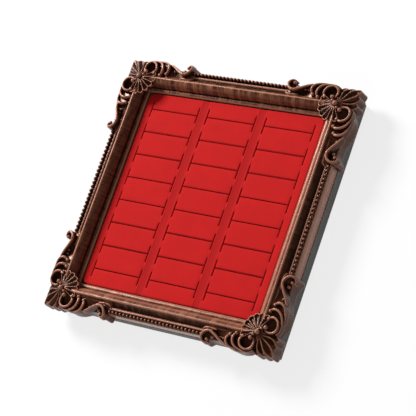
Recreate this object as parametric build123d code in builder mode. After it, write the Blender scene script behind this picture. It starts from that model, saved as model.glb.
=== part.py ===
# Square jewelry display tray: a carved picture-frame moulding on a plain plinth, with a padded
# ring insert that lifts out. Millimetres, +Z up, origin at the centre of the underside.
from build123d import *
import math
import os

os.makedirs("parts", exist_ok=True)

# Overall sizes
opening_size = 187.8        # clear width between the sight edges of opposite rails
rail_width = 22.4           # sight edge to outer wall
plinth_height = 9.8         # plain band below the moulding
pad_top = 19.3              # top of the padded insert above the table
ridge_rise = 10.0           # main ridge above the pad

# Base
flannel_thickness = 1.0
flannel_inset = 2.0         # flannel stops short of the plinth's outer edge
floor_thickness = 3.0
floor_clearance = 0.2       # floor board in its rebate, each side
rebate_width = 6.0          # step in the plinth strips that carries the floor board

# Moulding profile, as distances from the sight edge and heights above the pad
lip_height = 1.8
lip_width = 2.1             # sight edge to the middle of the lip
lip_quirk = 4.1
lip_quirk_height = 1.4
ovolo_bulge = 1.3           # how far the inner slope swells past its chord
ridge_offset = 10.3
ridge_flat = 1.6            # rounded top of the main ridge
ridge_softness = 0.2
outer_quirk_inset = 6.6     # from the outer wall, as are the fillet and the ledge
outer_quirk_height = 4.0
fillet_inset = 5.2
fillet_height = 5.2
ledge_height = 4.4          # ledge along the outer wall, for the bead strip

# Bead strips
bead_pitch = 3.88
bead_diameter = 3.4
bead_sides = 6
bead_height = 3.0
bead_taper = 14.0           # lean of each bead's facets, degrees
bead_bar_width = 1.2
bead_bar_height = 1.2
bead_wall_gap = 0.3         # beads set back from the outer wall
bead_ledge_gap = 0.1        # beads clear of the fillet behind them
bead_end_gap = 0.1          # beads clear of the ornaments' tails

# Padded insert
insert_clearance = 0.6      # insert to sight edge, each side
insert_corner_radius = 5.0
board_thickness = 2.5
cover_thickness = 0.6
panel_rise = 0.6            # padded columns above the strips between them
panel_margin = 2.3          # panels stop short of the insert's front and back edges
panel_width = 50.0          # raised panel, and the ring slits across it
column_pitch = 60.4
row_pitch = 22.18
slit_width = 0.7
slit_end_length = 14.5      # end stroke of each H-shaped slit
slit_depth = 8.0            # how deep the ring slits run into the foam

# Corner ornaments: s runs back from the outer corner along a rail, o runs out past its wall
berry_radius = 2.4
berry_sides = 8
berry_height = 2.5          # berry above the shells at their root
berry_taper = 25.0
shell_root_rise = 1.4       # shells above the main ridge at their root
inner_shell_reach = 15.9    # berry to the lobe tips over the insert's corner
inner_shell_thickness = 2.6
inner_shell_lobes = 7
inner_shell_spread = 132.0  # degrees between the outermost lobes
inner_lobe_radius = 3.0
outer_shell_project = 5.2   # lobe tips past the outer walls
outer_shell_tip = 24.4      # longest lobe, on the diagonal
outer_shell_drop = 5.6      # fall of its top along the diagonal
outer_shell_lobes = 5
outer_shell_spread = 92.0
outer_lobe_radius = 3.7
lobe_sides = 10
groove_size = 1.6           # sides of the V-shaped grooves between the lobes
wing_start_s = 17.0
wing_start_o = 0.8
bulge_s = 28.8
bulge_o = 5.4
bulge_end_o = 2.4
neck_s = 48.0
neck_o = -0.6               # the neck lies inside the outer wall
hook_s = 58.8
hook_o = 4.6
hook_radius = 1.8
tail_s = 66.0               # end of the ornament along the rail
tail_o = -2.0
tail_round = 3.6
tail_rise = 6.0             # ornament ground above the insert
wing_setback = 1.8          # wing to the crest of the main ridge
volute_s = 20.0
volute_o = -4.0
volute_radius = 6.2
volute_sides = 12
volute_wall = 1.5
volute_rise = 10.0
volute_bowl_rise = 7.2
scroll_radius = 12.5
scroll_sides = 20
scroll_width = 2.2
scroll_rise = 9.8
leaf_start = (39.0, 0.3)    # s and o of the leaf's rib, from the bulge round to the hook
leaf_middle = (53.0, -8.6)
leaf_end = (63.4, -1.6)
leaf_width = 2.2
leaf_rise = 11.0

# Fasteners
screw_radius = 1.5
screw_head_radius = 3.0
screw_sides = 8
screw_length = 16.0
screw_reach = 60.0          # screws from the middle of each side
nail_thickness = 0.8
nail_leg = 7.0
nail_height = 6.0

# Sizes that follow
sight_half = opening_size / 2
outer_half = sight_half + rail_width
ridge_half = sight_half + ridge_offset
plinth_bottom = flannel_thickness
plinth_top = plinth_bottom + plinth_height
floor_top = plinth_bottom + floor_thickness
floor_half = sight_half + rebate_width - floor_clearance
ridge_top = pad_top + ridge_rise
ledge_top = pad_top + ledge_height
ornament_ground = pad_top + tail_rise
insert_half = sight_half - insert_clearance
board_top = floor_top + board_thickness
strip_top = pad_top - panel_rise
bead_line = outer_half - bead_wall_gap - bead_diameter / 2
outer_quirk = rail_width - outer_quirk_inset
fillet_offset = rail_width - fillet_inset
ledge_offset = rail_width - bead_wall_gap - bead_diameter - bead_ledge_gap
bead_run = 2 * (outer_half - tail_s - bead_end_gap) - bead_diameter
bead_count = int(bead_run / bead_pitch) + 1
panel_length = 2 * (insert_half - panel_margin)
column_count = int((2 * insert_half + column_pitch - panel_width) / column_pitch)
row_count = int(panel_length / row_pitch)
plinth_middle = sight_half + (rebate_width + rail_width) / 2
screw_spots = [(plinth_middle, -screw_reach), (plinth_middle, screw_reach)]
side_turns = {"right": 0, "back": 90, "left": 180, "front": 270}
corner_turns = {"back_right": 0, "back_left": 90, "front_left": 180, "front_right": 270}


def turned(part, angle):
    """The same piece at another side or corner of the square tray."""
    return part.rotate(Axis.Z, angle)


def rail_point(offset, height):
    """A point of the moulding's section: outwards from the sight edge, up from the insert."""
    return (sight_half + offset, pad_top + height)


def corner_point(s, o):
    """A point of the ornament's plan on the +Y rail near the +X +Y corner."""
    return (outer_half - s, outer_half + o)


def save(part, name):
    part.label = name
    export_step(part, f"parts/{name}.step")


# Moulded rail of the +X side, cut to its mitres by the square's diagonals
ovolo_chord = Vector(ridge_offset - ridge_flat / 2 - lip_quirk, ridge_rise - lip_quirk_height)
ovolo_normal = Vector(-ovolo_chord.Y, ovolo_chord.X).normalized()
ovolo_peak = Vector(lip_quirk, lip_quirk_height) + ovolo_chord * 0.5 + ovolo_normal * ovolo_bulge
ridge_shoulder = ridge_rise - ridge_softness

with BuildPart() as rail_blank:
    with BuildSketch(Plane.XZ.offset(-outer_half)):
        with BuildLine():
            Line((sight_half, plinth_top), rail_point(0, lip_height / 2))
            ThreePointArc(
                rail_point(0, lip_height / 2),
                rail_point(lip_width, lip_height),
                rail_point(lip_quirk, lip_quirk_height),
            )
            ThreePointArc(
                rail_point(lip_quirk, lip_quirk_height),
                rail_point(ovolo_peak.X, ovolo_peak.Y),
                rail_point(ridge_offset - ridge_flat / 2, ridge_shoulder),
            )
            ThreePointArc(
                rail_point(ridge_offset - ridge_flat / 2, ridge_shoulder),
                rail_point(ridge_offset, ridge_rise),
                rail_point(ridge_offset + ridge_flat / 2, ridge_shoulder),
            )
            Line(
                rail_point(ridge_offset + ridge_flat / 2, ridge_shoulder),
                rail_point(outer_quirk, outer_quirk_height),
            )
            ThreePointArc(
                rail_point(outer_quirk, outer_quirk_height),
                rail_point(fillet_offset, fillet_height),
                rail_point(ledge_offset, ledge_height),
            )
            Line(rail_point(ledge_offset, ledge_height), rail_point(rail_width, ledge_height))
            Line(rail_point(rail_width, ledge_height), (outer_half, plinth_top))
            Line((outer_half, plinth_top), (sight_half, plinth_top))
        make_face()
    extrude(amount=2 * outer_half)
    for diagonal in (1, -1):
        split(bisect_by=Plane(origin=(0, 0, 0), z_dir=(1, diagonal, 0)), keep=Keep.TOP)

# V-shaped mitre nails, pressed into the underside of the rails across each mitre
nail_corner = outer_half - rail_width / 2
with BuildSketch(Plane.XY, mode=Mode.PRIVATE) as nail_plan:
    with BuildLine():
        Polyline((nail_leg, -nail_leg), (0, 0), (nail_leg, nail_leg))
    trace(line_width=nail_thickness)

with BuildPart() as mitre_nails:
    with BuildSketch(Plane.XY.offset(plinth_top)):
        with PolarLocations(nail_corner * math.sqrt(2), len(corner_turns), start_angle=45):
            add(nail_plan.sketch)
    extrude(amount=nail_height)

# Countersunk screws that draw a plinth strip up to its rail, along the +X side
with BuildPart() as side_screws:
    with BuildSketch(Plane.XY.offset(plinth_bottom)):
        with Locations(*screw_spots):
            RegularPolygon(screw_radius, screw_sides)
    extrude(amount=screw_length)
    with BuildSketch(Plane.XY.offset(plinth_bottom)):
        with Locations(*screw_spots):
            RegularPolygon(screw_head_radius, screw_sides)
    extrude(amount=screw_head_radius - screw_radius, taper=45)

# The +X rail with its screw holes and nail slots
with BuildPart() as rail:
    add(rail_blank.part)
    add([mitre_nails.part, side_screws.part], mode=Mode.SUBTRACT)

# Plinth strip of the +X side, with the rebate that carries the floor board
with BuildPart() as plinth:
    with BuildSketch(Plane.XZ.offset(-outer_half)):
        with BuildLine():
            Polyline(
                (sight_half, plinth_top),
                (outer_half, plinth_top),
                (outer_half, plinth_bottom),
                (sight_half + rebate_width, plinth_bottom),
                (sight_half + rebate_width, floor_top),
                (sight_half, floor_top),
                close=True,
            )
        make_face()
    extrude(amount=2 * outer_half)
    for diagonal in (1, -1):
        split(bisect_by=Plane(origin=(0, 0, 0), z_dir=(1, diagonal, 0)), keep=Keep.TOP)
    add(side_screws.part, mode=Mode.SUBTRACT)

# All the base screws, two along each side
with BuildPart() as base_screws:
    for angle in side_turns.values():
        add(turned(side_screws.part, angle))

# Floor board in the rebate, under the insert
with BuildPart() as floor_board:
    with BuildSketch(Plane.XY.offset(plinth_bottom)):
        Rectangle(2 * floor_half, 2 * floor_half)
    extrude(amount=floor_thickness)

# Flannel sheet that the tray stands on
with BuildPart() as flannel:
    with BuildSketch(Plane.XY):
        RectangleRounded(
            2 * (outer_half - flannel_inset), 2 * (outer_half - flannel_inset), flannel_inset
        )
    extrude(amount=flannel_thickness)

# Bead strip of the +X side: beads in a row on a flat bar, seated on the rail's ledge
with BuildPart() as bead_strip:
    with BuildSketch(Plane.XY.offset(ledge_top)):
        with Locations((bead_line, 0)):
            Rectangle(bead_bar_width, (bead_count - 1) * bead_pitch)
    extrude(amount=bead_bar_height)
    with BuildSketch(Plane.XY.offset(ledge_top)):
        with Locations((bead_line, 0)):
            with GridLocations(0, bead_pitch, 1, bead_count):
                RegularPolygon(bead_diameter / 2, bead_sides)
    extrude(amount=bead_height, taper=bead_taper)

# Board that stiffens the insert
insert_size = 2 * insert_half
core_size = insert_size - 2 * cover_thickness
core_radius = insert_corner_radius - cover_thickness
with BuildPart() as insert_board:
    with BuildSketch(Plane.XY.offset(floor_top)):
        RectangleRounded(core_size, core_size, core_radius)
    extrude(amount=board_thickness)

# Ring slits, an H laid along each row of each column
with BuildSketch(Plane.XY, mode=Mode.PRIVATE) as slit_plan:
    with GridLocations(column_pitch, row_pitch, column_count, row_count):
        Rectangle(panel_width, slit_width)
        with Locations((-panel_width / 2, 0), (panel_width / 2, 0)):
            Rectangle(slit_width, slit_end_length)

# Foam pad with its raised columns, slit part of the way down to grip rings
with BuildPart() as insert_foam:
    with BuildSketch(Plane.XY.offset(board_top)):
        RectangleRounded(core_size, core_size, core_radius)
    extrude(amount=strip_top - cover_thickness - board_top)
    with BuildSketch(Plane.XY.offset(strip_top - cover_thickness)):
        with GridLocations(column_pitch, 0, column_count, 1):
            Rectangle(panel_width, panel_length)
    extrude(amount=panel_rise)
    with BuildSketch(Plane.XY.offset(pad_top - cover_thickness - slit_depth)):
        add(slit_plan.sketch)
    extrude(amount=slit_depth, mode=Mode.SUBTRACT)

# Fabric cover over the top and down the sides of foam and board
with BuildPart() as insert_cover:
    with BuildSketch(Plane.XY.offset(floor_top)):
        RectangleRounded(insert_size, insert_size, insert_corner_radius)
    extrude(amount=strip_top - floor_top)
    with BuildSketch(Plane.XY.offset(strip_top)):
        with GridLocations(column_pitch, 0, column_count, 1):
            Rectangle(panel_width + 2 * cover_thickness, panel_length + 2 * cover_thickness)
    extrude(amount=panel_rise)
    with BuildSketch(Plane.XY.offset(floor_top)):
        RectangleRounded(core_size, core_size, core_radius)
    extrude(amount=strip_top - cover_thickness - floor_top, mode=Mode.SUBTRACT)
    with BuildSketch(Plane.XY.offset(strip_top - cover_thickness)):
        with GridLocations(column_pitch, 0, column_count, 1):
            Rectangle(panel_width, panel_length)
    extrude(amount=panel_rise, mode=Mode.SUBTRACT)
    with BuildSketch(Plane.XY.offset(floor_top)):
        add(slit_plan.sketch)
    extrude(amount=pad_top - floor_top, mode=Mode.SUBTRACT)

# Shells of the +X +Y corner, drawn about a berry on the mitre of the main ridge
shell_root = ridge_top + shell_root_rise
shell_square = outer_half + outer_shell_project - ridge_half


def fan_angles(count, spread, middle):
    """Directions evenly spread about the middle one, in degrees."""
    return [middle + spread * (index / (count - 1) - 0.5) for index in range(count)]


def outer_lobe_centre(angle):
    """Lobe tips follow the outer walls, and the lobe on the diagonal stops short of them."""
    turn = math.radians(angle)
    square_reach = shell_square / max(math.cos(turn), math.sin(turn))
    reach = min(square_reach, outer_shell_tip) - outer_lobe_radius
    return (reach * math.cos(turn), reach * math.sin(turn))


def groove_planes(angles, fall, middle):
    """Planes that look outwards along a shell's sloping top, for the grooves between its lobes."""
    planes = []
    for angle in angles:
        x = math.cos(math.radians(angle))
        y = math.sin(math.radians(angle))
        drop = fall * math.cos(math.radians(angle - middle))
        planes.append(Plane(origin=(0, 0, shell_root), x_dir=(-y, x, 0), z_dir=(x, y, -drop)))
    return planes


# Inner shell, a thin scalloped plate that reaches over the insert's corner
inner_step = inner_shell_spread / (inner_shell_lobes - 1)
inner_reach = inner_shell_reach - inner_lobe_radius
inner_centres = [
    (inner_reach * math.cos(math.radians(angle)), inner_reach * math.sin(math.radians(angle)))
    for angle in fan_angles(inner_shell_lobes, inner_shell_spread, 225)
]
with BuildPart() as inner_shell:
    with BuildSketch(Plane.XY.offset(shell_root - inner_shell_thickness)):
        with BuildLine():
            Polyline((0, 0), *inner_centres, close=True)
        make_face()
        with Locations(inner_centres):
            RegularPolygon(inner_lobe_radius, lobe_sides)
    extrude(amount=inner_shell_thickness)
    grooves = fan_angles(inner_shell_lobes - 1, inner_shell_spread - inner_step, 225)
    with Locations(groove_planes(grooves, 0, 225)):
        Box(
            groove_size,
            groove_size,
            2 * inner_shell_reach,
            rotation=(0, 0, 45),
            align=(Align.CENTER, Align.CENTER, Align.MIN),
            mode=Mode.SUBTRACT,
        )

# Outer shell, fanned over the corner, falling outwards and solid down to the plinth
outer_step = outer_shell_spread / (outer_shell_lobes - 1)
outer_fall = outer_shell_drop / outer_shell_tip
outer_centres = [
    outer_lobe_centre(angle)
    for angle in fan_angles(outer_shell_lobes, outer_shell_spread, 45)
]
with BuildPart() as outer_shell:
    with BuildSketch(Plane.XY.offset(plinth_top)):
        with BuildLine():
            Polyline((0, 0), *outer_centres, close=True)
        make_face()
        with Locations(outer_centres):
            RegularPolygon(outer_lobe_radius, lobe_sides)
    extrude(amount=shell_root - plinth_top)
    across_diagonal = Plane(
        origin=(0, 0, shell_root),
        x_dir=(-1, 1, 0),
        z_dir=(outer_fall, outer_fall, math.sqrt(2)),
    )
    split(bisect_by=across_diagonal, keep=Keep.BOTTOM)
    grooves = fan_angles(outer_shell_lobes - 1, outer_shell_spread - outer_step, 45)
    with Locations(groove_planes(grooves, outer_fall, 45)):
        Box(
            groove_size,
            groove_size,
            2 * outer_shell_tip,
            rotation=(0, 0, 45),
            align=(Align.CENTER, Align.CENTER, Align.MIN),
            mode=Mode.SUBTRACT,
        )

# Wing of the ornament along the +Y rail: bulge, neck, hook and tail
volute_centre = corner_point(volute_s, volute_o)
wing_back = ridge_half + wing_setback - outer_half
bulge_end = corner_point(2 * bulge_s - wing_start_s, bulge_end_o)
hook_start = corner_point(hook_s - hook_radius, hook_o)
hook_end = corner_point(hook_s + hook_radius, hook_o)
with BuildPart() as wing:
    with BuildSketch(Plane.XY.offset(plinth_top)) as wing_plan:
        with BuildLine():
            ThreePointArc(
                corner_point(wing_start_s, wing_start_o), corner_point(bulge_s, bulge_o), bulge_end
            )
            ThreePointArc(bulge_end, corner_point(neck_s, neck_o), hook_start)
            ThreePointArc(hook_start, corner_point(hook_s, hook_o + hook_radius / 2), hook_end)
            Line(hook_end, corner_point(tail_s, tail_o))
            ThreePointArc(
                corner_point(tail_s, tail_o),
                corner_point(tail_s - tail_round, tail_o - tail_round),
                corner_point(leaf_middle[0], wing_back),
            )
            Polyline(
                corner_point(leaf_middle[0], wing_back),
                corner_point(-wing_back, wing_back),
                corner_point(wing_start_s, wing_start_o),
            )
        make_face()
    extrude(amount=ornament_ground - plinth_top)
    # Scroll round the volute, clipped to the wing
    with BuildSketch(Plane.XY.offset(ornament_ground)):
        with Locations(volute_centre):
            RegularPolygon(scroll_radius, scroll_sides)
            RegularPolygon(scroll_radius - scroll_width, scroll_sides, mode=Mode.SUBTRACT)
        add(
            wing_plan.sketch.moved(Location((0, 0, ornament_ground - plinth_top))),
            mode=Mode.INTERSECT,
        )
    extrude(amount=scroll_rise - tail_rise)
    # Rib of the leaf, from the bulge round to the hook
    with BuildSketch(Plane.XY.offset(ornament_ground)):
        with BuildLine():
            ThreePointArc(
                corner_point(*leaf_start), corner_point(*leaf_middle), corner_point(*leaf_end)
            )
        trace(line_width=leaf_width)
    extrude(amount=leaf_rise - tail_rise)
    # Volute with its bowl and the berry in it
    with BuildSketch(Plane.XY.offset(plinth_top)):
        with Locations(volute_centre):
            RegularPolygon(volute_radius, volute_sides)
    extrude(amount=pad_top + volute_rise - plinth_top)
    with BuildSketch(Plane.XY.offset(pad_top + volute_rise)):
        with Locations(volute_centre):
            RegularPolygon(volute_radius - volute_wall, volute_sides)
    extrude(amount=volute_bowl_rise - volute_rise, mode=Mode.SUBTRACT)

# Whole ornament of the +X +Y corner, fitted over the two rails that meet there
with BuildPart() as corner_ornament:
    add(wing.part)
    mirror(about=Plane(origin=(0, 0, 0), z_dir=(1, -1, 0)))
    with Locations((ridge_half, ridge_half, 0)):
        add(outer_shell.part)
        add(inner_shell.part)
    with BuildSketch(Plane.XY.offset(shell_root - inner_shell_thickness)):
        with Locations((ridge_half, ridge_half)):
            RegularPolygon(berry_radius, berry_sides)
    extrude(amount=inner_shell_thickness)
    with BuildSketch(Plane.XY.offset(shell_root)):
        with Locations((ridge_half, ridge_half)):
            RegularPolygon(berry_radius, berry_sides)
    extrude(amount=berry_height, taper=berry_taper)
    add([rail_blank.part, turned(rail_blank.part, 90)], mode=Mode.SUBTRACT)

save(floor_board.part, "floor_board")
save(flannel.part, "base_flannel")
save(base_screws.part, "base_screws")
save(mitre_nails.part, "mitre_nails")
save(insert_board.part, "insert_board")
save(insert_foam.part, "insert_foam")
save(insert_cover.part, "insert_cover")
for side, angle in side_turns.items():
    save(turned(rail.part, angle), f"rail_{side}")
    save(turned(plinth.part, angle), f"plinth_{side}")
    save(turned(bead_strip.part, angle), f"bead_strip_{side}")
for corner, angle in corner_turns.items():
    save(turned(corner_ornament.part, angle), f"ornament_{corner}")
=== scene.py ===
import math

import bpy
import numpy as np
from mathutils import Matrix, Vector, noise


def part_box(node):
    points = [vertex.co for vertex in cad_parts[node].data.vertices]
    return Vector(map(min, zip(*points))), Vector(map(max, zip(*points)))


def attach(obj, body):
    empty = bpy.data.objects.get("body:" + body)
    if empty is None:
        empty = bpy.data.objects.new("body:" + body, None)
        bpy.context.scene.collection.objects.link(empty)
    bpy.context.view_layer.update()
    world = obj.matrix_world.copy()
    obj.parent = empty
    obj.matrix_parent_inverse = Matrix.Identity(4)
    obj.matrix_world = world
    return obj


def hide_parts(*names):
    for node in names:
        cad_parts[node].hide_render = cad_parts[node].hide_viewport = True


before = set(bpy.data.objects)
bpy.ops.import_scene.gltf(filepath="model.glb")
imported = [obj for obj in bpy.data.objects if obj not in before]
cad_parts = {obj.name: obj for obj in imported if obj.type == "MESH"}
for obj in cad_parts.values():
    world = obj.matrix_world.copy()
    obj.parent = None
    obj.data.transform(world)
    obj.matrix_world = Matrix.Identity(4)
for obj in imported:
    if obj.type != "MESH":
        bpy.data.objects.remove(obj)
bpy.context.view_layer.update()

# Lengths below are millimetres, and meshes are scaled to metres as they are made
MM = 0.001

# Heights and half-widths read from the frame
insert_low, insert_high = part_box("insert_cover")
rail_low, rail_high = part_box("rail_right")
bead_low, bead_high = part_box("bead_strip_right")
PAD_TOP = insert_high.z / MM
PLINTH_TOP = rail_low.z / MM
SIGHT = rail_low.x / MM
OUTER = rail_high.x / MM
INSERT_HALF = insert_high.x / MM
INSERT_BOTTOM = insert_low.z / MM
BEAD_RUN = bead_high.y / MM
BEAD_LINE = (bead_low.x + bead_high.x) / 2 / MM
BEAD_RADIUS = (bead_high.x - bead_low.x) / 2 / MM
BEAD_SEAT = bead_low.z / MM

SIDES = {"right": 0, "back": 90, "left": 180, "front": 270}
CORNERS = {"back_right": 0, "back_left": 90, "front_left": 180, "front_right": 270}


# Mesh helpers

class Soup:
    """Closed shapes collected as vertices and faces, later one mesh."""

    def __init__(self):
        self.verts = []
        self.faces = []

    def add(self, verts, faces):
        start = sum(len(v) for v in self.verts)
        self.verts.append(np.asarray(verts, float))
        self.faces.extend(tuple(start + i for i in face) for face in faces)

    def points(self):
        return np.vstack(self.verts)


def make_object(name, verts, faces, smooth=True):
    mesh = bpy.data.meshes.new(name)
    mesh.from_pydata((np.asarray(verts) * MM).tolist(), [], faces)
    mesh.validate()
    mesh.update()
    if smooth:
        mesh.shade_smooth()
    piece = bpy.data.objects.new(name, mesh)
    bpy.context.scene.collection.objects.link(piece)
    return piece


def grid_faces(rows, columns, wrap_columns=False):
    """Quads of a grid of rows times columns vertices."""
    faces = []
    for r in range(rows - 1):
        for c in range(columns if wrap_columns else columns - 1):
            c2 = (c + 1) % columns
            here, above = r * columns, (r + 1) * columns
            faces.append((here + c, here + c2, above + c2, above + c))
    return faces


def grid_rim(rows, columns):
    """Indices of a grid's vertices round its rim, from the first row's start."""
    last = (rows - 1) * columns
    return [
        *range(columns),
        *(r * columns + columns - 1 for r in range(1, rows)),
        *(last + c for c in range(columns - 2, -1, -1)),
        *(r * columns for r in range(rows - 2, 0, -1)),
    ]


def loft(rings):
    """A closed solid through closed rings of equal length, with its two ends capped."""
    rings = np.asarray(rings, float)
    count, size = rings.shape[:2]
    faces = grid_faces(count, size, wrap_columns=True)
    faces.append(tuple(range(size - 1, -1, -1)))
    faces.append(tuple((count - 1) * size + i for i in range(size)))
    return rings.reshape(-1, 3), faces


def smooth_path(points, steps=7):
    """A Catmull-Rom curve through control points of any width."""
    p = np.asarray(points, float)
    p = np.vstack([2 * p[0] - p[1], p, 2 * p[-1] - p[-2]])
    out = []
    for i in range(1, len(p) - 2):
        for t in np.arange(steps) / steps:
            a, b, c, d = p[i - 1], p[i], p[i + 1], p[i + 2]
            out.append(0.5 * (2 * b + (c - a) * t + (2 * a - 5 * b + 4 * c - d) * t**2
                              + (3 * b - a - 3 * c + d) * t**3))
    out.append(p[-2])
    return np.array(out)


def arc(start, middle, end, count):
    """Points on the circular arc through three points of the plane."""
    a, b, c = (complex(*p) for p in (start, middle, end))
    w = (c - a) / (b - a)
    centre = (b - a) * (w - abs(w) ** 2) / (2j * w.imag) + a
    first = math.atan2((a - centre).imag, (a - centre).real)
    mid = (math.atan2((b - centre).imag, (b - centre).real) - first) % (2 * math.pi)
    last = (math.atan2((c - centre).imag, (c - centre).real) - first) % (2 * math.pi)
    if mid > last:
        last -= 2 * math.pi
    radius = abs(a - centre)
    return [
        (centre.real + radius * math.cos(first + last * i / count),
         centre.imag + radius * math.sin(first + last * i / count))
        for i in range(count + 1)
    ]


def ball(centre, radius, rings=8, sides=14):
    """A closed ball, its poles up and down."""
    cx, cy, cz = centre
    verts = [(cx, cy, cz - radius)]
    for i in range(1, rings):
        lat = math.pi * i / rings - math.pi / 2
        for j in range(sides):
            lon = 2 * math.pi * j / sides
            verts.append((cx + radius * math.cos(lat) * math.cos(lon),
                          cy + radius * math.cos(lat) * math.sin(lon),
                          cz + radius * math.sin(lat)))
    verts.append((cx, cy, cz + radius))
    top = len(verts) - 1
    faces = [(0, 1 + (j + 1) % sides, 1 + j) for j in range(sides)]
    for i in range(rings - 2):
        for j in range(sides):
            a, b = 1 + i * sides + j, 1 + i * sides + (j + 1) % sides
            faces.append((a, b, b + sides, a + sides))
    last = 1 + (rings - 2) * sides
    faces += [(last + j, last + (j + 1) % sides, top) for j in range(sides)]
    return verts, faces


def turned(verts, angle):
    """Vertices turned about the tray's centre, in degrees."""
    a = math.radians(angle)
    turn = np.array([[math.cos(a), -math.sin(a), 0], [math.sin(a), math.cos(a), 0], [0, 0, 1]])
    return np.asarray(verts, float) @ turn.T


def mirrored(verts):
    """Vertices swapped across the corner's diagonal."""
    return np.asarray(verts, float)[:, [1, 0, 2]]


def fused(soup, voxel, polish):
    """The soup's shapes fused into one skin, as vertices and faces in millimetres."""
    mesh = bpy.data.meshes.new("fusing")
    mesh.from_pydata(soup.points().tolist(), [], soup.faces)
    mesh.update()
    piece = bpy.data.objects.new("fusing", mesh)
    bpy.context.scene.collection.objects.link(piece)
    remesh = piece.modifiers.new("remesh", "REMESH")
    remesh.mode = "VOXEL"
    remesh.voxel_size = voxel
    relax = piece.modifiers.new("relax", "SMOOTH")
    relax.factor = 0.5
    relax.iterations = polish
    done = piece.evaluated_get(bpy.context.evaluated_depsgraph_get()).to_mesh()
    verts = np.empty(len(done.vertices) * 3)
    done.vertices.foreach_get("co", verts)
    faces = [tuple(face.vertices) for face in done.polygons]
    bpy.data.objects.remove(piece)
    bpy.data.meshes.remove(mesh)
    return verts.reshape(-1, 3), faces


def store_tone(piece, name, values):
    """Stores one number for each vertex, for the material to read."""
    layer = piece.data.attributes.new(name, "FLOAT", "POINT")
    layer.data.foreach_set("value", np.asarray(values, np.float32))


RUB_AND_LIGHT_MIDDLE = 0.5


def paint_rub_and_light(piece, reach, gain, extra=0.0):
    """Stores how proud each vertex stands of its surroundings: high on rubbed edges, partly a painted
    highlight, and low for painted shade in hollows.
    """
    mesh = piece.data
    count = len(mesh.vertices)
    co = np.empty(count * 3)
    mesh.vertices.foreach_get("co", co)
    co = co.reshape(-1, 3)
    normal = np.empty(count * 3)
    mesh.vertex_normals.foreach_get("vector", normal)
    normal = normal.reshape(-1, 3)
    edges = np.empty(len(mesh.edges) * 2, int)
    mesh.edges.foreach_get("vertices", edges)
    a, b = edges.reshape(-1, 2).T
    degree = np.maximum(np.bincount(a, minlength=count) + np.bincount(b, minlength=count), 1)
    soft = co.copy()
    for _ in range(reach):
        total = np.zeros_like(soft)
        for k in range(3):
            total[:, k] = np.bincount(a, soft[b, k], count) + np.bincount(b, soft[a, k], count)
        soft = total / degree[:, None]
    proud = ((co - soft) * normal).sum(1) / MM * gain
    store_tone(piece, "rub_and_painted_light", np.clip(RUB_AND_LIGHT_MIDDLE + proud + extra, 0, 1))


# Corner ornament of the +X +Y corner: one wing along the +Y rail, and its mirror image

# The rails' foot, since heights of the ornament and the rails are above the insert's top
FOOT = PLINTH_TOP - PAD_TOP

# Bed of the wing by stations along the rail: x, inner y, three heights going out, outer y
BED = [
    (106.0, 105.0, 8.6, 6.6, 5.0, 117.8),
    (99.0, 105.5, 8.0, 4.0, 4.4, 117.8),
    (93.5, 105.8, 7.4, 3.0, 4.6, 121.0),
    (87.5, 106.0, 7.0, 4.6, 5.2, 122.2),
    (81.0, 106.0, 7.2, 5.4, 6.2, 121.2),
    (76.0, 106.0, 7.2, 6.4, 6.0, 118.8),
    (71.0, 106.2, 6.8, 5.0, 3.6, 117.2),
    (66.0, 106.6, 6.6, 4.0, 3.0, 117.0),
    (61.0, 107.0, 6.8, 4.2, 3.2, 117.2),
    (57.0, 107.4, 7.2, 5.0, 4.8, 118.6),
    (54.2, 108.2, 7.4, 6.0, 6.6, 121.2),
    (51.4, 109.6, 6.6, 5.6, 5.6, 120.9),
    (50.2, 112.0, 4.6, 4.0, 3.2, 117.4),
]

# Ridges of the wing: x, y, height and half-width of the crest
VOLUTE = [
    (90.2, 108.6, 9.8, 1.3), (88.7, 113.2, 10.8, 1.1), (91.0, 117.8, 10.6, 1.0),
    (96.0, 119.6, 10.2, 1.0), (100.5, 117.5, 9.8, 1.0), (101.9, 113.0, 9.6, 1.0),
    (100.4, 108.6, 10.0, 1.0), (98.8, 105.4, 10.6, 0.9),
]
SECOND_SCROLL = [
    (83.3, 107.4, 9.6, 1.3), (81.8, 111.6, 11.0, 1.2), (82.9, 116.2, 10.8, 1.1),
    (86.6, 119.8, 9.6, 1.0), (92.0, 121.6, 8.2, 0.9), (98.0, 121.2, 7.2, 0.8),
    (102.0, 118.6, 7.0, 0.7),
]
THIRD_SCROLL = [
    (77.3, 109.6, 9.0, 1.3), (75.7, 113.6, 10.6, 1.2), (76.7, 117.6, 10.2, 1.1),
    (80.2, 120.6, 8.8, 1.0), (86.0, 122.2, 7.2, 0.9), (92.5, 122.3, 5.8, 0.7),
]
LEAF = [
    (76.0, 119.6, 8.0, 0.9), (70.0, 117.0, 9.6, 1.0), (64.0, 113.4, 11.2, 1.1),
    (58.6, 111.2, 12.0, 1.2), (54.0, 112.6, 11.8, 1.2), (51.6, 116.4, 11.0, 1.2),
    (52.2, 120.2, 9.4, 1.2),
]
HOOK = [
    (52.2, 120.2, 9.2, 1.3), (54.6, 121.4, 8.2, 1.2), (57.4, 120.2, 7.2, 1.0),
]
TAIL = [
    (63.0, 108.6, 7.2, 0.8), (57.0, 108.0, 7.6, 0.9), (51.5, 108.4, 7.4, 0.9), (48.6, 110.4, 6.2, 0.7),
]
# Balls of the wing: x, y, height and radius
WING_BALLS = [
    (90.3, 108.9, 9.0, 1.7), (83.5, 107.8, 8.8, 1.7), (77.5, 109.9, 8.2, 1.6),
    (98.4, 109.2, 10.2, 1.9), (71.0, 114.2, 5.6, 1.1), (67.4, 114.6, 5.8, 1.4),
    (60.0, 115.2, 5.8, 1.6), (56.4, 118.4, 7.4, 1.5),
]
# Balls on and beside the diagonal
CENTRE_BALLS = [(103.6, 103.6, 11.6, 2.3), (99.9, 106.0, 11.0, 1.3), (106.0, 99.9, 11.0, 1.3)]

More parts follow.
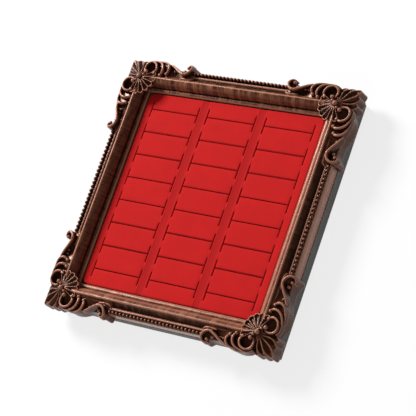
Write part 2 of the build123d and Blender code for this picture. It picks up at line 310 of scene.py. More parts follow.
BED_STEPS = 5
BED_WALL_ROUND = 0.5
BED_WALL_DROP = 0.8
RIDGE_FOOT = 2.0
RIDGE_SPREAD = 1.25           # how much wider a ridge is at its foot
RIDGE_TIP = 0.45              # share of its width that a ridge starts and ends with
RIDGE_GROWTH = 0.3


def bed(stations):
    """The wing's ground, a closed loft with an upright outer wall and a dished top."""
    rings = []
    for x, y0, z0, z1, z2, y1 in smooth_path(stations, BED_STEPS):
        across = np.linspace(0, 1, 9)
        height = z0 * (1 - across) ** 2 + 2 * z1 * across * (1 - across) + z2 * across**2
        ring = [(x, y0 + (y1 - y0) * t, z) for t, z in zip(across, height)]
        ring[-1] = (x, y1 - BED_WALL_ROUND, z2)
        ring.append((x, y1, z2 - BED_WALL_DROP))
        rings.append(ring + [(x, y1, FOOT), (x, y0, FOOT)])
    return loft(rings)


def ridge(points):
    """A carved ridge: a round crest along the points, with steep flanks down to its foot."""
    path = smooth_path(points)
    end = len(path) - 1
    rings = []
    for i, (x, y, z, r) in enumerate(path):
        ahead, behind = path[min(i + 1, end)], path[max(i - 1, 0)]
        run = Vector((ahead[0] - behind[0], ahead[1] - behind[1])).normalized()
        r *= min(1.0, RIDGE_TIP + RIDGE_GROWTH * i, RIDGE_TIP + RIDGE_GROWTH * (end - i))
        crest = [(r * math.cos(a), r * math.sin(a) - r) for a in np.linspace(0, math.pi, 7)]
        drop = RIDGE_FOOT - z
        section = [(r * RIDGE_SPREAD, drop), *crest, (-r * RIDGE_SPREAD, drop)]
        rings.append([(x + run.y * u, y - run.x * u, z + v) for u, v in section])
    return loft(rings)


SHELL_HUB = 1.5
SHELL_RADIAL = 17


def shell_point(centre, reach, turn, height):
    return (centre[0] + reach * math.cos(turn), centre[1] + reach * math.sin(turn), height)


def scallop(flutes, position):
    """0 on a rib and 1 in the middle of a flute, with position from 0 to 1 round the shell."""
    return math.sin(math.pi * ((position * flutes) % 1.0))


def deepening(u, rise, end, close):
    """Share of a flute's depth at u of the way out: it grows from the hub and closes at the rim."""
    return min(1, u * rise) * (1 - close * max(0, (u - end) / (1 - end)))


INNER_CENTRE = (103.0, 103.0)
INNER_FACING = 225.0
INNER_FLUTES = 7
INNER_STEPS = 12
INNER_REACH = 15.0
INNER_LOBE = 1.4
INNER_SPREAD = 150.0
INNER_THICKNESS = 1.9
INNER_DEPTH = 2.3
INNER_FLUTE = (1.5, 0.86, 0.85)
INNER_HEIGHT = 10.8
INNER_SWELL = 1.0
INNER_FALL = 0.9
INNER_UNDER_FALL = 1.2
INNER_UNDER_DEPTH = 0.5
INNER_UNDERCUT = 0.4
INNER_RIM = 0.9
INNER_RIM_PLACE = 0.96
INNER_RIM_WIDTH = 0.05


def inner_shell():
    """The scallop shell that reaches over the insert's corner: a thin fluted cap, open below."""
    columns = INNER_FLUTES * INNER_STEPS + 1
    radial = np.linspace(0, 1, SHELL_RADIAL)
    rings = []
    for c in range(columns):
        position = c / (columns - 1)
        turn = math.radians(INNER_FACING + INNER_SPREAD * (position - 0.5))
        flute = scallop(INNER_FLUTES, position)
        reach = INNER_REACH + INNER_LOBE * flute
        top, under = [], []
        for u in radial:
            dome = INNER_HEIGHT + INNER_SWELL * math.sin(math.pi * u) - INNER_FALL * u
            rim = INNER_RIM * math.exp(-((u - INNER_RIM_PLACE) / INNER_RIM_WIDTH) ** 2)
            height = dome - INNER_DEPTH * flute * deepening(u, *INNER_FLUTE) + rim
            top.append(shell_point(INNER_CENTRE, SHELL_HUB + (reach - SHELL_HUB) * u, turn, height))
        for u in radial[::-1]:
            dome = INNER_HEIGHT + INNER_SWELL * math.sin(math.pi * u) - INNER_UNDER_FALL * u
            hollow = INNER_DEPTH * INNER_UNDER_DEPTH * min(1, u * INNER_FLUTE[0])
            below = dome - INNER_THICKNESS - hollow
            out = SHELL_HUB + (reach - SHELL_HUB - INNER_UNDERCUT) * u
            under.append(shell_point(INNER_CENTRE, out, turn, below))
        rings.append(top + under)
    return loft(rings)


OUTER_CENTRE = (104.5, 104.5)
OUTER_FACING = 45.0
OUTER_FLUTES = 5
OUTER_STEPS = 14
OUTER_SPREAD = 104.0
OUTER_SQUARE = 17.0
OUTER_TIP = 22.6
OUTER_LOBE = 2.3
OUTER_LOBE_FULLNESS = 0.7
OUTER_DEPTH = 3.2
OUTER_FLUTE = (1.4, 0.8, 0.5)
OUTER_BEND = 0.5
OUTER_HEIGHT = 10.4
OUTER_DISH = 1.32
OUTER_DISH_RUN = 1.2
OUTER_FALL = 4.6
OUTER_WALL_ROUND = 0.4
OUTER_WALL_DROP = 1.0


def outer_shell():
    """The broad shell over the corner, its lobes carried down as an upright wall."""
    columns = OUTER_FLUTES * OUTER_STEPS + 1
    rings = []
    for c in range(columns):
        position = c / (columns - 1)
        turn = math.radians(OUTER_FACING + OUTER_SPREAD * (position - 0.5))
        flute = scallop(OUTER_FLUTES, position)
        square = OUTER_SQUARE / max(math.cos(turn), math.sin(turn))
        reach = min(square, OUTER_TIP) - OUTER_LOBE + OUTER_LOBE * flute**OUTER_LOBE_FULLNESS
        ring = []
        for u in np.linspace(0, 1, SHELL_RADIAL):
            bent = turn + OUTER_BEND * math.sin(math.pi * u) * (position - 0.5)
            dish = OUTER_DISH * math.sin(math.pi * min(1, u * OUTER_DISH_RUN))
            hollow = OUTER_DEPTH * flute * deepening(u, *OUTER_FLUTE)
            height = OUTER_HEIGHT - dish - OUTER_FALL * u**3 - hollow
            ring.append(shell_point(OUTER_CENTRE, SHELL_HUB + (reach - SHELL_HUB) * u, bent, height))
        wall = reach + OUTER_WALL_ROUND
        ring.append(shell_point(OUTER_CENTRE, wall, turn, ring[-1][2] - OUTER_WALL_DROP))
        ring.append(shell_point(OUTER_CENTRE, wall, turn, FOOT))
        ring.append(shell_point(OUTER_CENTRE, SHELL_HUB, turn, FOOT))
        rings.append(ring)
    return loft(rings)


# The boss on the mitre that the shells spring from
MOUND_PLACE = (104.0, 104.0, 3.0)
MOUND_RADIUS = 7.4

ORNAMENT_VOXEL = 0.40
ORNAMENT_POLISH = 2
SQUEEZE_FROM = 119.0
SQUEEZE = 0.80                # keeps the outermost ridges inside the CAD box


def ornament_mesh():
    """Two mirrored wings, the shells, the boss and the balls, fused into one skin."""
    wing = Soup()
    wing.add(*bed(BED))
    for line in (VOLUTE, SECOND_SCROLL, THIRD_SCROLL, LEAF, HOOK, TAIL):
        wing.add(*ridge(line))
    for x, y, z, r in WING_BALLS:
        wing.add(*ball((x, y, z), r))
    whole = Soup()
    whole.add(wing.points(), wing.faces)
    whole.add(mirrored(wing.points()), [face[::-1] for face in wing.faces])
    whole.add(*inner_shell())
    whole.add(*outer_shell())
    whole.add(*ball(MOUND_PLACE, MOUND_RADIUS, 12, 24))
    for x, y, z, r in CENTRE_BALLS:
        whole.add(*ball((x, y, z), r))
    verts, faces = fused(whole, ORNAMENT_VOXEL, ORNAMENT_POLISH)
    plan = verts[:, :2]
    plan -= (1 - SQUEEZE) * np.maximum(plan - SQUEEZE_FROM, 0)
    verts[:, 2] = np.maximum(verts[:, 2], FOOT) + PAD_TOP
    return verts, faces


# Materials

def new_material(name, colour):
    """A material with a principled shader, its node tree and that shader."""
    material = bpy.data.materials.new(name)
    material.use_nodes = True
    material.diffuse_color = (*colour, 1)
    tree = material.node_tree
    tree.nodes.clear()
    output = tree.nodes.new("ShaderNodeOutputMaterial")
    shader = tree.nodes.new("ShaderNodeBsdfPrincipled")
    tree.links.new(shader.outputs["BSDF"], output.inputs["Surface"])
    return material, tree, shader


def node(tree, kind, links=(), **settings):
    """A node with its settings and its linked inputs, given as (input, output socket)."""
    made = tree.nodes.new("ShaderNode" + kind)
    for key, value in settings.items():
        setattr(made, key, value)
    for target, source in links:
        tree.links.new(source, made.inputs[target])
    return made


def set_inputs(made, **values):
    """Sets a node's own sockets, an underscore in a name standing for a space."""
    for key, value in values.items():
        made.inputs[key.replace("_", " ")].default_value = value


def ramp(tree, source, *stops):
    """A ramp between two stops, each a place and a colour."""
    made = node(tree, "ValToRGB", [(0, source)])
    for element, (place, colour) in zip(made.color_ramp.elements, stops):
        element.position = place
        element.color = (*colour, 1)
    return made.outputs["Color"]


def level_ramp(tree, source, start, end, low=0.0, high=1.0):
    """A grey ramp from low at start to high at end."""
    return ramp(tree, source, (start, (low, low, low)), (end, (high, high, high)))


def noise_of(tree, coordinates, scale, detail=4.0, rough=0.55, stretch=(1, 1, 1)):
    """Noise in object space, with features a given number to the metre."""
    mapped = node(tree, "Mapping", [(0, coordinates)])
    set_inputs(mapped, Scale=stretch)
    made = node(tree, "TexNoise", [(0, mapped.outputs[0])])
    set_inputs(made, Scale=scale, Detail=detail, Roughness=rough)
    return made.outputs["Fac"]


MIX_COLOUR_INPUTS = (6, 7)
MIX_COLOUR_OUTPUT = 2


def mix_colour(tree, factor, first, second):
    """The first colour mixed with the second by a linked factor, each linked or plain."""
    made = node(tree, "Mix", [(0, factor)], data_type="RGBA")
    for index, value in zip(MIX_COLOUR_INPUTS, (first, second)):
        if isinstance(value, bpy.types.NodeSocket):
            tree.links.new(value, made.inputs[index])
        else:
            made.inputs[index].default_value = (*value, 1)
    return made.outputs[MIX_COLOUR_OUTPUT]


def arithmetic(tree, operation, first, second):
    """An operation on a linked number and another, which is linked or plain."""
    made = node(tree, "Math", [(0, first)], operation=operation)
    if isinstance(second, bpy.types.NodeSocket):
        tree.links.new(second, made.inputs[1])
    else:
        made.inputs[1].default_value = second
    return made.outputs[0]


def bump(tree, shader, height, distance, strength):
    """Relief in the shader's normal, its distance in metres."""
    made = node(tree, "Bump", [("Height", height)])
    set_inputs(made, Strength=strength, Distance=distance)
    tree.links.new(made.outputs["Normal"], shader.inputs["Normal"])


# The first colour is painted shade for the hollows, nearly black
PAINTED_HOLLOW_SHADE = (0.004, 0.0011, 0.0006)
WALNUT = (0.032, 0.0072, 0.0030)
WARM_WALNUT = (0.118, 0.034, 0.0145)
RUBBED_AND_HIGHLIGHT_COPPER = (0.38, 0.165, 0.105)
FIGURE_TAN = (0.36, 0.145, 0.078)
WARM_SHINE = (1.0, 0.50, 0.36)
STREAK_SCALE = 700.0
FIGURE_SCALE = 240.0
MOTTLE_SCALE = 90.0
MOTTLE_SHARE = 0.6
STREAK_IN_RUB_AND_LIGHT = 0.16         # breaks up the edge of the rubbed and highlighted places
RUB_AND_HIGHLIGHT_START = 0.66
RUB_AND_HIGHLIGHT_RANGE = 0.3


def walnut(name, grain=(1, 1, 1), figure=0.0, rub_and_highlight=1.0):
    """Dark stained wood, its hollows darkened with painted shade and its high points rubbed to copper,
    partly a painted highlight.
    """
    material, tree, shader = new_material(name, WALNUT)
    coordinates = node(tree, "TexCoord").outputs["Object"]
    rub_and_painted_light = node(tree, "Attribute", attribute_name="rub_and_painted_light").outputs["Fac"]
    mottle = noise_of(tree, coordinates, MOTTLE_SCALE, detail=5)
    streak = noise_of(tree, coordinates, STREAK_SCALE, 6, 0.65, grain)
    band = noise_of(tree, coordinates, FIGURE_SCALE, 5, 0.62, grain)
    brown = mix_colour(tree, level_ramp(tree, streak, 0.35, 0.7), WALNUT, WARM_WALNUT)
    brown = mix_colour(tree, level_ramp(tree, mottle, 0.4, 0.75, high=MOTTLE_SHARE), brown, WALNUT)
    figured = arithmetic(tree, "MULTIPLY", level_ramp(tree, band, 0.45, 0.65), figure)
    brown = mix_colour(tree, figured, brown, FIGURE_TAN)
    # Painted shade: the hollows go nearly black where the stored value is low
    brown = mix_colour(tree, level_ramp(tree, rub_and_painted_light, 0.30, 0.50, 1.0, 0.0), brown, PAINTED_HOLLOW_SHADE)
    # Copper on the high points: rubbing, partly a painted highlight
    broken = arithmetic(tree, "ADD", rub_and_painted_light, arithmetic(tree, "MULTIPLY", streak, STREAK_IN_RUB_AND_LIGHT))
    rubbed_and_highlit = level_ramp(tree, broken, RUB_AND_HIGHLIGHT_START, RUB_AND_HIGHLIGHT_START + RUB_AND_HIGHLIGHT_RANGE / rub_and_highlight)
    colour = mix_colour(tree, rubbed_and_highlit, brown, RUBBED_AND_HIGHLIGHT_COPPER)
    tree.links.new(colour, shader.inputs["Base Color"])
    shine = level_ramp(tree, mottle, 0.3, 0.8, low=0.24, high=0.36)
    tree.links.new(shine, shader.inputs["Roughness"])
    set_inputs(shader, Specular_IOR_Level=0.40, Specular_Tint=(*WARM_SHINE, 1))
    bump(tree, shader, streak, distance=0.0002, strength=0.35)
    return material


PAINT_SHADE = 0.72


def painted(name, colour):
    """Flat paint with a faint brushed grain."""
    material, tree, shader = new_material(name, colour)
    coordinates = node(tree, "TexCoord").outputs["Object"]
    cloud = arithmetic(tree, "MULTIPLY", noise_of(tree, coordinates, 60, detail=4), 0.5)
    grain = noise_of(tree, coordinates, 900, detail=5)
    tone = arithmetic(tree, "ADD", arithmetic(tree, "MULTIPLY", grain, 0.5), cloud)
    darker = tuple(c * PAINT_SHADE for c in colour)
    tree.links.new(ramp(tree, tone, (0.35, darker), (0.65, colour)), shader.inputs["Base Color"])
    set_inputs(shader, Roughness=0.62)
    bump(tree, shader, grain, distance=0.0001, strength=0.3)
    return material


SUEDE_RED = (0.585, 0.0090, 0.0092)
# Dark red of the nap, also used for painted shade in the slits and on the insert's sides
SUEDE_NAP_AND_SHADE = (0.22, 0.003, 0.004)
FLANNEL_BLACK = (0.022, 0.020, 0.020)
FLANNEL_DEEP = (0.010, 0.009, 0.009)
BRUSHED_SHADE = 0.90
NAP_SHARE = 0.16


def suede(name, colour, nap_and_shade):
    """Short-napped cloth: clouded by brushing, with a fine nap, a soft sheen and painted shade where
    its stored tone is low.
    """
    material, tree, shader = new_material(name, colour)
    coordinates = node(tree, "TexCoord").outputs["Object"]
    brushed = noise_of(tree, coordinates, 45, 5, 0.6)
    fibre = noise_of(tree, coordinates, 2600, 3, 0.7)
    tone_and_painted_shade = node(tree, "Attribute", attribute_name="tone_and_painted_shade").outputs["Fac"]
    darker = tuple(BRUSHED_SHADE * c for c in colour)
    cloth = mix_colour(tree, level_ramp(tree, brushed, 0.30, 0.72), darker, colour)
    cloth = mix_colour(tree, level_ramp(tree, fibre, 0.35, 0.65, NAP_SHARE, 0.0), cloth, nap_and_shade)
    # Painted shade: a stored tone below 1 darkens the cloth towards the deep colour
    cloth = mix_colour(tree, tone_and_painted_shade, nap_and_shade, cloth)
    tree.links.new(cloth, shader.inputs["Base Color"])
    set_inputs(shader, Roughness=0.88, Sheen_Weight=0.03, Sheen_Roughness=0.5, Specular_IOR_Level=0.12)
    bump(tree, shader, fibre, distance=0.00025, strength=0.5)
    return material


def plain_metal(name):
    """Zinc-plated steel with fine scratches."""
    material, tree, shader = new_material(name, (0.55, 0.55, 0.56))
    coordinates = node(tree, "TexCoord").outputs["Object"]
    scratch = noise_of(tree, coordinates, 1500, detail=4)
    tone = ramp(tree, scratch, (0.3, (0.40, 0.40, 0.41)), (0.7, (0.62, 0.62, 0.63)))
    tree.links.new(tone, shader.inputs["Base Color"])
    set_inputs(shader, Metallic=1.0, Roughness=0.35)
    return material


def use(piece, material):
    piece.data.materials.clear()
    piece.data.materials.append(material)


# Scales of the grain's noise, whose streaks run across each rail
STREAKS_ALONG_Y = (1, 0.1, 0.1)
STREAKS_ALONG_X = (0.1, 1, 0.1)

walnut_carved = walnut("walnut_carved", rub_and_highlight=1.4)
walnut_rails = {
    "front": walnut("walnut_front", STREAKS_ALONG_Y, figure=0.7),
    "back": walnut("walnut_back", STREAKS_ALONG_Y, figure=0.85),
    "left": walnut("walnut_left", STREAKS_ALONG_X, figure=0.0),
    "right": walnut("walnut_right", STREAKS_ALONG_X, figure=0.25),
}
plinth_grey = painted("plinth_grey", (0.17, 0.165, 0.16))
board_brown = painted("board_brown", (0.30, 0.20, 0.12))
red_suede = suede("red_suede", SUEDE_RED, SUEDE_NAP_AND_SHADE)
black_flannel = suede("black_flannel", FLANNEL_BLACK, FLANNEL_DEEP)
zinc = plain_metal("zinc")


# Corner ornaments

ornament_verts, ornament_faces = ornament_mesh()
for corner, angle in CORNERS.items():
    piece = make_object(f"carved_{corner}", turned(ornament_verts, angle), ornament_faces)
    # Rubbed high points with a painted highlight, and painted shade in the hollows
    paint_rub_and_light(piece, reach=6, gain=2.1)
    use(piece, walnut_carved)
    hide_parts(f"ornament_{corner}")
    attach(piece, "tray")


# Rails: offset from the sight edge and height above the insert

LIP_START, LIP_TOP, LIP_END = (0.0, 0.9), (2.1, 1.8), (4.1, 1.4)
OVOLO_MIDDLE = (5.6, 6.9)
CREST_START, CREST_TOP, CREST_END = (9.5, 9.8), (10.3, 10.0), (11.1, 9.8)
FILLET_START, FILLET_TOP, FILLET_END = (15.8, 4.0), (17.2, 5.2), (18.6, 4.4)
BACK_SAG = 0.35
LEDGE_START = 20.0
LEDGE_HEIGHT = 4.4
RAIL_STEP_DROP = 3.5          # faint step low on the outer wall
RAIL_STEP_HALF = 0.2
RAIL_STEP = 0.25
WALL_MIDDLE = -6.0
ORNAMENT_END = BEAD_RUN + 1.5  # the outer mouldings stop under the ornaments
UNDER_OFFSET = 15.0
UNDER_ORNAMENT = -2.0
LEDGE_ROUND = 0.5
RAIL_SPACING = 1.2
WOBBLE = 0.12
WOBBLE_SCALE = (0.35, 0.09, 0.3)


def rail_section():
    """The moulding's outline from the sight edge's foot over the crest to the outer wall's foot."""
    width = OUTER - SIGHT
    inset = width - RAIL_STEP
    (x0, z0), (x1, z1) = CREST_END, FILLET_START
    back = [(x0 + (x1 - x0) * t, z0 + (z1 - z0) * t - BACK_SAG * math.sin(math.pi * t))
            for t in np.linspace(0, 1, 8)]
    return [
        *((0.0, z) for z in np.linspace(FOOT, LIP_START[1], 6)[:-1]),
        *arc(LIP_START, LIP_TOP, LIP_END, 10),
        *arc(LIP_END, OVOLO_MIDDLE, CREST_START, 16)[1:],
        *arc(CREST_START, CREST_TOP, CREST_END, 6)[1:],
        *back[1:],
        *arc(FILLET_START, FILLET_TOP, FILLET_END, 8)[1:],
        (LEDGE_START, LEDGE_HEIGHT),
        (width - LEDGE_ROUND, LEDGE_HEIGHT),
        (width - 0.24 * LEDGE_ROUND, LEDGE_HEIGHT - 0.3 * LEDGE_ROUND),
        (width, LEDGE_HEIGHT - LEDGE_ROUND),
        (width, -RAIL_STEP_DROP + RAIL_STEP_HALF),
        (inset, -RAIL_STEP_DROP - RAIL_STEP_HALF),
        (inset, WALL_MIDDLE),
        (inset, FOOT),
    ]


def rail_mesh():
    """The +X rail, mitred at both ends, slightly uneven like a hand-finished moulding."""
    section = rail_section()
    count = int(2 * OUTER / RAIL_SPACING)
    rings = []
    for along in np.linspace(-1, 1, count):
        ring = []
        for offset, height in section:
            x = SIGHT + offset
            y = along * x
            if abs(y) > ORNAMENT_END and offset > UNDER_OFFSET:
                height = min(height, UNDER_ORNAMENT)
            if height > 0 and 0 < offset < OUTER - SIGHT:
                place = Vector(p * s for p, s in zip((offset, y, height), WOBBLE_SCALE))
                height += WOBBLE * noise.noise(place)
            ring.append((x, y, height + PAD_TOP))
        rings.append(ring)
    return loft(rings)


# Lines along the mouldings that are rubbed and carry a painted highlight: offset from the sight edge
# and width
RUB_AND_HIGHLIGHT_LINES = [(2.1, 0.7), (6.4, 0.8), (10.3, 0.9), (17.2, 0.9)]
# How much each rail is rubbed and highlighted on those lines, the painted highlight set by how the
# light falls on each side
RUB_AND_HIGHLIGHT_AMOUNTS = {
    "front": (0.20, 0.16, 0.16, 0.12),
    "back": (0.06, 0.05, 0.08, 0.08),
    "left": (0.02, 0.0, 0.30, 0.12),
    "right": (0.30, 0.18, 0.24, 0.12),
}


def rub_and_painted_highlight(verts, amounts):
    """Extra rubbing and painted highlight at each vertex of the +X rail, in lines along the moulding.
    """
    offsets = verts[:, 0] - SIGHT
    rub_and_painted_light = np.zeros(len(verts))
    for (place, width), amount in zip(RUB_AND_HIGHLIGHT_LINES, amounts):
        rub_and_painted_light += amount * np.exp(-((offsets - place) / width) ** 2)
    return np.where(verts[:, 2] > PAD_TOP, rub_and_painted_light, 0)


rail_verts, rail_faces = rail_mesh()
for side, angle in SIDES.items():
    piece = make_object(f"moulding_{side}", turned(rail_verts, angle), rail_faces)
    side_rub_and_highlight = rub_and_painted_highlight(rail_verts, RUB_AND_HIGHLIGHT_AMOUNTS[side])
    # Rubbed edges and painted shade from the shape, with the side's painted highlight lines added
    paint_rub_and_light(piece, reach=4, gain=2.2, extra=side_rub_and_highlight)
    use(piece, walnut_rails[side])
    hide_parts(f"rail_{side}")
    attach(piece, "tray")


# Bead strips

BEAD_PITCH = 3.88
BEAD_GAP = 0.25
BEAD_RISE = 0.8               # height of a bead's middle, in radii
BAR_HALF = 1.0
BAR_HEIGHT = 0.7
BAR_INSET = 0.3
BAR_STATIONS = 60
# Bead tone by height: painted shade at each bead's foot, a rubbed top with a painted highlight
BEAD_FOOT_SHADE = 0.05
BEAD_TOP_RUB_AND_HIGHLIGHT = 0.85
BEAD_CONTRAST = 1.5


def bead_mesh():
    """A row of beads on a half-buried bar, along the +X side."""
    soup = Soup()
    count = int(2 * (BEAD_RUN - BEAD_RADIUS) / BEAD_PITCH + 0.5) + 1
    first = -(count - 1) / 2 * BEAD_PITCH
    for i in range(count):
        place = (BEAD_LINE, first + i * BEAD_PITCH, BEAD_SEAT + BEAD_RADIUS * BEAD_RISE)
        soup.add(*ball(place, BEAD_RADIUS - BEAD_GAP / 2, rings=10, sides=16))
    section = [(BEAD_LINE + BAR_HALF * math.cos(a), BEAD_SEAT + BAR_HEIGHT * math.sin(a))
               for a in np.linspace(0, math.pi, 9)]
    stations = np.linspace(-BEAD_RUN + BAR_INSET, BEAD_RUN - BAR_INSET, BAR_STATIONS)
    soup.add(*loft([[(x, y, z) for x, z in section] for y in stations]))
    verts = soup.points()
    verts[:, 2] = np.maximum(verts[:, 2], BEAD_SEAT)
    return verts, soup.faces


bead_verts, bead_faces = bead_mesh()
bead_heights = np.clip((bead_verts[:, 2] - BEAD_SEAT) / (2 * BEAD_RADIUS), 0, 1)
for side, angle in SIDES.items():
    piece = make_object(f"beading_{side}", turned(bead_verts, angle), bead_faces)
    # Painted shade low on each bead and a rubbed, painted highlight on its top
    store_tone(piece, "rub_and_painted_light", BEAD_FOOT_SHADE + BEAD_TOP_RUB_AND_HIGHLIGHT * bead_heights**BEAD_CONTRAST)
    use(piece, walnut_carved)
    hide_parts(f"bead_strip_{side}")
    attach(piece, "tray")


# Padded insert, its suede cut with H-shaped ring slits

COLUMN_PITCH = 60.4
COLUMN_WIDTH = 50.0
ROW_PITCH = 22.18
COLUMNS = 3
ROWS = 8
SLIT_HALF = 0.38
SLIT_END_HALF = 7.25
SLIT_DEPTH = 3.0
BAND_HALF = 3.3
BAND_DROP = 0.4               # the bands between the columns lie lower
BAND_SOFT = 0.9
BAND_TONE = 0.70
PANEL_CROWN = 0.25
WAVE_HEIGHT = 0.10            # slight unevenness of the padding
WAVE_SCALE = 0.05
WAVE_PLACE = 0.3
LIP_DIP = 0.3                 # the cloth dips beside a slit, where painted shade darkens it
LIP_DIP_REACH = 0.6
LIP_SHADE = 0.35
LIP_SHADE_REACH = 0.3
SLIT_TOUCH = 0.01
EDGE_ROUND = 1.6
CORNER_ROUND = 7.0
GRID_SPACING = 3.0
GRID_CLEAR = 0.45             # even lines this share of the spacing from a close line are left out
GRID_MERGE = 0.05
EDGE_STEPS = (0.0, 0.25, 0.7, 1.3, 2.0)
SIDE_DEPTHS = (0.35, 0.7, 1.0)
SIDE_PINCH = 0.0035
# Painted shade on the insert's sides, under the frame's lip
SIDE_SHADE_TONE = 0.2

column_places = [(i - (COLUMNS - 1) / 2) * COLUMN_PITCH for i in range(COLUMNS)]
band_places = [place + COLUMN_PITCH / 2 for place in column_places[:-1]]
row_places = [(i - (ROWS - 1) / 2) * ROW_PITCH for i in range(ROWS)]


def both_ways(*steps):
    return (*(-step for step in steps), *steps)


# Distances from a slit's middle line and from the middle of its end strokes that get a grid line
SLIT_STEPS = both_ways(SLIT_HALF - 0.03, SLIT_HALF + 0.02, 0.8, 1.6)
STROKE_STEPS = both_ways(SLIT_END_HALF - 0.02, SLIT_END_HALF + 0.3)
BAND_STEPS = (-0.5, -0.25, 0, 0.25, 0.5)


def grid_lines(slits, steps):
    """Grid lines across the insert: even ones, and close ones where something is cut or edged."""
    close = [place + step for place in slits for step in steps]
    even = [v for v in np.arange(-INSERT_HALF, INSERT_HALF + GRID_SPACING / 2, GRID_SPACING)
            if min(abs(v - c) for c in close) > GRID_SPACING * GRID_CLEAR]
    rounded = [sign * (INSERT_HALF - step) for sign in (-1, 1) for step in EDGE_STEPS]
    lines = sorted(v for v in even + close + rounded if abs(v) <= INSERT_HALF)
    return [v for i, v in enumerate(lines) if i == 0 or v - lines[i - 1] > GRID_MERGE]


def soft_step(value):
    """0 below 0 and 1 above 1, with a smooth rise between."""
    value = min(1.0, max(0.0, value))
    return value * value * (3 - 2 * value)


def insert_height(x, y):
    """Height above the insert's top, and a tone of 1 on the panels, less in the bands, with painted
    shade beside the slits and a tone of 0 in them.
    """
    column = min(column_places, key=lambda c: abs(x - c))
    row = min(row_places, key=lambda r: abs(y - r))
    from_band = min(abs(x - b) for b in band_places)
    panel = soft_step(0.5 + (from_band - BAND_HALF) / BAND_SOFT)
    height = -BAND_DROP * (1 - panel)
    height -= PANEL_CROWN * panel * ((x - column) / (COLUMN_PITCH / 2)) ** 2
    height += WAVE_HEIGHT * noise.noise(Vector((x * WAVE_SCALE, y * WAVE_SCALE, WAVE_PLACE)))
    across = max(abs(y - row) - SLIT_HALF, abs(x - column) - COLUMN_WIDTH / 2)
    end = abs(abs(x - column) - COLUMN_WIDTH / 2)
    upright = max(end - SLIT_HALF, abs(y - row) - SLIT_END_HALF)
    away = min(across, upright)
    # Painted shade: the inside of a slit gets a tone of 0
    if away <= SLIT_TOUCH:
        return height - SLIT_DEPTH, 0.0
    tone = BAND_TONE + (1 - BAND_TONE) * panel
    # Painted shade beside a slit
    tone *= 1 - LIP_SHADE * math.exp(-away / LIP_SHADE_REACH)
    return height - LIP_DIP * math.exp(-away / LIP_DIP_REACH), tone


def corner_rounded(x, y):
    """A point of the square insert moved so that its corners are round."""
    inner = INSERT_HALF - CORNER_ROUND
    if abs(x) <= inner or abs(y) <= inner:
        return x, y
    u, v = (abs(x) - inner) / CORNER_ROUND, (abs(y) - inner) / CORNER_ROUND
    return (math.copysign(inner + CORNER_ROUND * u * math.sqrt(1 - v * v / 2), x),
            math.copysign(inner + CORNER_ROUND * v * math.sqrt(1 - u * u / 2), y))


def insert_mesh():
    """The padded insert as vertices, faces and tones: slit top, upright sides darkened with painted
    shade, and flat underside.
    """
    ends = [c + s * COLUMN_WIDTH / 2 for c in column_places for s in (-1, 1)]
    band_edges = [b + (s * BAND_HALF + t) for b in band_places for s in (-1, 1) for t in BAND_STEPS]
    xs = sorted(grid_lines(ends, SLIT_STEPS) + band_edges)
    ys = grid_lines(row_places, SLIT_STEPS + STROKE_STEPS)
    verts, tone_and_painted_shade = [], []
    for y in ys:
        for x in xs:
            px, py = corner_rounded(x, y)
            height, shade = insert_height(px, py)
            edge = INSERT_HALF - max(abs(x), abs(y))
            if edge < EDGE_ROUND:
                height -= EDGE_ROUND - math.sqrt(max(0.0, EDGE_ROUND**2 - (EDGE_ROUND - edge) ** 2))
            verts.append((px, py, PAD_TOP + height))
            tone_and_painted_shade.append(shade)
    faces = grid_faces(len(ys), len(xs))
    rim = grid_rim(len(ys), len(xs))
    previous = rim
    for depth in SIDE_DEPTHS:
        pinch = 1 - SIDE_PINCH * math.sin(math.pi * depth)
        z = INSERT_BOTTOM + (PAD_TOP - EDGE_ROUND - INSERT_BOTTOM) * (1 - depth)
        below = list(range(len(verts), len(verts) + len(rim)))
        verts += [(verts[i][0] * pinch, verts[i][1] * pinch, z) for i in rim]
        # The sides get the painted shade tone
        tone_and_painted_shade += [SIDE_SHADE_TONE] * len(rim)
        for i in range(len(rim)):
            j = (i + 1) % len(rim)
            faces.append((previous[j], previous[i], below[i], below[j]))
        previous = below
    faces.append(tuple(previous[::-1]))
    return verts, faces, tone_and_painted_shade


insert_verts, insert_faces, insert_tone_and_shade = insert_mesh()
pad = make_object("suede_pad", insert_verts, insert_faces)
store_tone(pad, "tone_and_painted_shade", insert_tone_and_shade)
use(pad, red_suede)
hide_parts("insert_cover", "insert_foam")
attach(pad, "insert")


# Flannel underneath

FLANNEL_EDGE = 0.15
FLANNEL_ROUND = 0.12
FLANNEL_INSET = 6.0
FLANNEL_LINES = 38


def flannel_mesh():
    """The flannel sheet with softened edges, as vertices, faces and its side in metres."""
    low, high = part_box("base_flannel")
    half = high.x / MM
    inset = half - FLANNEL_INSET
    even = np.linspace(-inset, inset, FLANNEL_LINES)
    lines = [-half, -half + FLANNEL_EDGE, *even, half - FLANNEL_EDGE, half]
    top, bottom = [], []
    for y in lines:
        for x in lines:
            at_edge = half - max(abs(x), abs(y)) < FLANNEL_EDGE / 2
            rounding = FLANNEL_ROUND if at_edge else 0.0
            top.append((x, y, high.z / MM - rounding))
            bottom.append((x, y, low.z / MM + rounding))
    count = len(top)
    top_faces = grid_faces(len(lines), len(lines))
    faces = top_faces + [tuple(count + i for i in face[::-1]) for face in top_faces]
    rim = grid_rim(len(lines), len(lines))
    for i, a in enumerate(rim):
        b = rim[(i + 1) % len(rim)]
        faces.append((b, a, count + a, count + b))
    return top + bottom, faces, 2 * half * MM


flannel_verts, flannel_faces, flannel_side = flannel_mesh()
sheet = make_object("flannel_base", flannel_verts, flannel_faces)
store_tone(sheet, "tone_and_painted_shade", np.ones(len(flannel_verts)))
use(sheet, black_flannel)
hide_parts("base_flannel")
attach(sheet, "tray")


# Pieces that keep their CAD shape

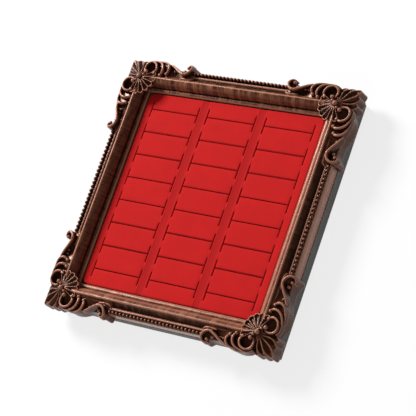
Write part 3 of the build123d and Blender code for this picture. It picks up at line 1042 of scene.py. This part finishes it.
for name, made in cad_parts.items():
    if name.startswith("plinth"):
        use(made, plinth_grey)
    elif name in ("floor_board", "insert_board"):
        use(made, board_brown)
    elif name in ("base_screws", "mitre_nails"):
        use(made, zinc)


# Floor, light and camera

FLOOR_HALF = 6000.0
FLOOR_GAP = 0.05              # so that the floor and the flannel don't coincide
SHADOW_KEPT = 0.22


def floor_material():
    """White to the camera and in reflections, with a part of the object's shadow kept."""
    material, tree, shader = new_material("pale_floor", (0.9, 0.9, 0.9))
    coordinates = node(tree, "TexCoord").outputs["Object"]
    cloud = noise_of(tree, coordinates, 3, detail=2)
    tree.links.new(level_ramp(tree, cloud, 0.0, 1.0, 0.93, 0.95), shader.inputs["Base Color"])
    set_inputs(shader, Roughness=0.9)
    path = node(tree, "LightPath")
    seen = arithmetic(tree, "MAXIMUM", path.outputs["Is Camera Ray"], path.outputs["Is Glossy Ray"])
    seen = arithmetic(tree, "MAXIMUM", seen, path.outputs["Is Transmission Ray"])
    white = node(tree, "Emission")
    set_inputs(white, Color=(1, 1, 1, 1), Strength=1.0)
    share = arithmetic(tree, "MULTIPLY", seen, 1 - SHADOW_KEPT)
    mixed = node(tree, "MixShader", [(0, share), (1, shader.outputs[0]), (2, white.outputs[0])])
    output = next(n for n in tree.nodes if n.type == "OUTPUT_MATERIAL")
    tree.links.new(mixed.outputs[0], output.inputs["Surface"])
    return material


floor_corners = [
    (x * FLOOR_HALF, y * FLOOR_HALF, -FLOOR_GAP)
    for x, y in ((-1, -1), (1, -1), (1, 1), (-1, 1))
]
floor = make_object("floor", floor_corners, [(0, 1, 2, 3)], smooth=False)
use(floor, floor_material())


def area_light(name, place, size, power):
    """A square lamp that faces the tray's centre."""
    data = bpy.data.lights.new(name, "AREA")
    data.shape = "SQUARE"
    data.size = size
    data.energy = power
    light = bpy.data.objects.new(name, data)
    light.location = place
    light.rotation_euler = (-Vector(place)).to_track_quat("-Z", "Y").to_euler()
    bpy.context.scene.collection.objects.link(light)


area_light("key", place=(-2.65, 1.55, 1.95), size=1.1, power=211)
area_light("fill", place=(0.9, -2.6, 2.2), size=2.2, power=16)

world = bpy.data.worlds.new("studio")
world.use_nodes = True
set_inputs(world.node_tree.nodes["Background"], Color=(1, 1, 1, 1), Strength=0.20)
bpy.context.scene.world = world

# Camera of the photograph, found from the grid of slits: place above the insert's top, axes, lens
CAMERA_PLACE = (0.8697, -0.3612, 1.2537)
CAMERA_RIGHT = Vector((0.82047, 0.32356, -0.47131))
CAMERA_UP = Vector((-0.15200, 0.91821, 0.36577))
CAMERA_BACK = Vector((0.55111, -0.22846, 0.80255))
LENS = 156.1
SENSOR_WIDTH = 36.0
camera_data = bpy.data.cameras.new("camera")
camera_data.lens = LENS
camera_data.sensor_width = SENSOR_WIDTH
camera = bpy.data.objects.new("camera", camera_data)
camera_turn = Matrix((CAMERA_RIGHT, CAMERA_UP, CAMERA_BACK)).transposed().to_4x4()
camera_place = Vector(CAMERA_PLACE) + Vector((0, 0, PAD_TOP * MM))
camera.matrix_world = Matrix.Translation(camera_place) @ camera_turn
bpy.context.scene.collection.objects.link(camera)
bpy.context.scene.camera = camera
bpy.context.scene.view_settings.view_transform = "Standard"
